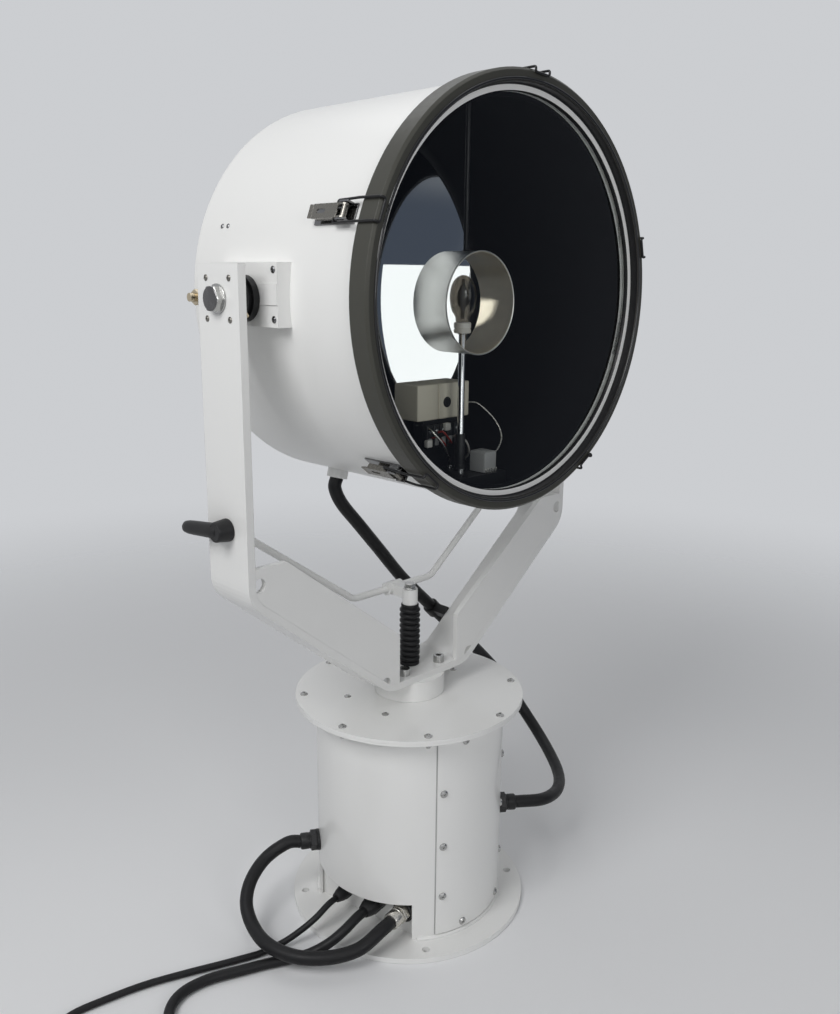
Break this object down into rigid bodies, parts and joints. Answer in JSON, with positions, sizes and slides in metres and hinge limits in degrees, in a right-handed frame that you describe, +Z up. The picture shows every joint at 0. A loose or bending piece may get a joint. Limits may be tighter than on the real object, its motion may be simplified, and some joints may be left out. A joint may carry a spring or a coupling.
{
  "type": "marine searchlight",
  "caption": "Deck-mounted marine searchlight: drum lamp house with latched front glass on a U-shaped yoke that pans on a round pedestal and tilts by a push rod.",
  "frame": {"origin": "centre of the deck flange's underside, in the middle of the deck bolt circle", "axes": "+Z up along the pan axis, -Y along the beam, X along the tilt axis"},
  "size_m": [0.9954, 0.388, 1.1537],
  "materials": {
    "white_paint": "gloss",
    "olive_paint": "satin",
    "stainless": "satin",
    "dark_steel": "polished dark",
    "gear_steel": "machined",
    "black_paint": "satin",
    "black_plastic": "matte",
    "rubber_black": "matte",
    "seal_white": "matte",
    "brass": "plain",
    "mirror": "polished",
    "clear_glass": "clear",
    "lamp_glass": "clear",
    "satin_aluminium": "satin",
    "chrome": "bright",
    "cream_plastic": "satin",
    "grey_motor": "satin"
  },
  "bodies": {
    "base": {"base_flange": "white_paint", "base_column": "white_paint", "access_cover": "white_paint", "base_screws": "stainless", "top_plate": "white_paint", "gland_plate": "white_paint", "cable_glands": "black_plastic", "conduit_fittings": "black_plastic", "loop_conduit": "rubber_black", "pan_bearing": "gear_steel", "pan_motor": "grey_motor", "tilt_actuator": "grey_motor", "supply_cable": "rubber_black", "supply_coil": "rubber_black", "supply_connector": "black_plastic", "control_cable": "rubber_black", "control_coil": "rubber_black", "control_connector": "black_plastic"},
    "pinion": {"pan_pinion": "gear_steel"},
    "yoke": {"pan_hub": "white_paint", "pan_gear": "gear_steel", "yoke_bar": "white_paint", "yoke_webs": "white_paint", "yoke_bolts": "stainless", "trunnion_bearings": "black_plastic", "bearing_screws": "dark_steel", "gaiter": "rubber_black", "conduit_clip": "black_plastic", "conduit_lower": "rubber_black", "conduit_upper": "rubber_black"},
    "lock": {"lock_lever": "black_plastic"},
    "push": {"push_rod": "stainless", "rod_clamp": "white_paint", "tilt_rod": "white_paint"},
    "lamp_house": {"lamp_barrel": "white_paint", "rear_cover": "white_paint", "drum_screws": "stainless", "trunnion_blocks": "white_paint", "crank_studs": "brass", "trunnion_bolts": "dark_steel", "reflector": "mirror", "spill_ring": "satin_aluminium", "lamp_post": "chrome", "lamp": "lamp_glass", "ignitor_box": "cream_plastic", "lamp_carrier": "black_paint", "bezel_ring": "olive_paint", "glass_seal": "seal_white", "front_glass": "clear_glass", "latch_plates": "stainless"},
    "latch_1": {"latch_lever_1": "stainless"},
    "bail_1": {"latch_bail_1": "black_paint"},
    "latch_2": {"latch_lever_2": "stainless"},
    "bail_2": {"latch_bail_2": "black_paint"},
    "latch_3": {"latch_lever_3": "stainless"},
    "bail_3": {"latch_bail_3": "black_paint"},
    "latch_4": {"latch_lever_4": "stainless"},
    "bail_4": {"latch_bail_4": "black_paint"},
    "latch_5": {"latch_lever_5": "stainless"},
    "bail_5": {"latch_bail_5": "black_paint"}
  },
  "joints": [
    {"name": "pan", "type": "hinge", "parent": "base", "child": "yoke", "pos_m": [0, 0, 0.331], "axis": [0, 0, 1], "range_deg": [-60, 60], "deforming": ["conduit_lower"]},
    {"name": "pinion_spin", "type": "hinge", "parent": "base", "child": "pinion", "pos_m": [-0.01747, 0.08216, 0.2625], "axis": [0, 0, 1], "range_deg": [-300, 300]},
    {"name": "tilt", "type": "hinge", "parent": "yoke", "child": "lamp_house", "pos_m": [0, 0, 0.893], "axis": [1, 0, 0], "range_deg": [-20, 20], "deforming": ["conduit_upper"]},
    {"name": "push", "type": "slide", "parent": "yoke", "child": "push", "axis": [0, 0, 1], "range_m": [-0.0224, 0.0224], "deforming": ["gaiter"]},
    {"name": "lock_turn", "type": "hinge", "parent": "yoke", "child": "lock", "pos_m": [-0.302, -0.002, 0.628], "axis": [1, 0, 0], "range_deg": [0, 90]},
    {"name": "latch_1_turn", "type": "hinge", "parent": "lamp_house", "child": "latch_1", "pos_m": [0.24535, -0.14, 0.95874], "axis": [0.2588, 0, -0.9659], "range_deg": [0, 90]},
    {"name": "bail_1_turn", "type": "hinge", "parent": "latch_1", "child": "bail_1", "pos_m": [0.24477, -0.126, 0.95859], "axis": [0.2588, 0, -0.9659], "range_deg": [-90, 0]},
    {"name": "latch_2_turn", "type": "hinge", "parent": "lamp_house", "child": "latch_2", "pos_m": [0.01329, -0.14, 1.14665], "axis": [0.9986, 0, -0.0523], "range_deg": [0, 90]},
    {"name": "bail_2_turn", "type": "hinge", "parent": "latch_2", "child": "bail_2", "pos_m": [0.01326, -0.126, 1.14605], "axis": [0.9986, 0, -0.0523], "range_deg": [-90, 0]},
    {"name": "latch_3_turn", "type": "hinge", "parent": "lamp_house", "child": "latch_3", "pos_m": [-0.23713, -0.14, 0.98403], "axis": [0.3584, 0, 0.9336], "range_deg": [0, 90]},
    {"name": "bail_3_turn", "type": "hinge", "parent": "latch_3", "child": "bail_3", "pos_m": [-0.23657, -0.126, 0.98381], "axis": [0.3584, 0, 0.9336], "range_deg": [-90, 0]},
    {"name": "latch_4_turn", "type": "hinge", "parent": "lamp_house", "child": "latch_4", "pos_m": [-0.15985, -0.14, 0.69561], "axis": [-0.7771, 0, 0.6293], "range_deg": [0, 90]},
    {"name": "bail_4_turn", "type": "hinge", "parent": "latch_4", "child": "bail_4", "pos_m": [-0.15947, -0.126, 0.69607], "axis": [-0.7771, 0, 0.6293], "range_deg": [-90, 0]},
    {"name": "latch_5_turn", "type": "hinge", "parent": "lamp_house", "child": "latch_5", "pos_m": [0.13834, -0.14, 0.67998], "axis": [-0.8387, 0, -0.5446], "range_deg": [0, 90]},
    {"name": "bail_5_turn", "type": "hinge", "parent": "latch_5", "child": "bail_5", "pos_m": [0.13801, -0.126, 0.68048], "axis": [-0.8387, 0, -0.5446], "range_deg": [-90, 0]}
  ],
  "couplings": [
    {"joint": "pinion_spin", "follows": "pan", "ratio": -5},
    {"joint": "push", "follows": "tilt", "m_per_rad": 0.064},
    {"joint": "bail_1_turn", "follows": "latch_1_turn", "ratio": -1},
    {"joint": "bail_2_turn", "follows": "latch_2_turn", "ratio": -1},
    {"joint": "bail_3_turn", "follows": "latch_3_turn", "ratio": -1},
    {"joint": "bail_4_turn", "follows": "latch_4_turn", "ratio": -1},
    {"joint": "bail_5_turn", "follows": "latch_5_turn", "ratio": -1}
  ]
}
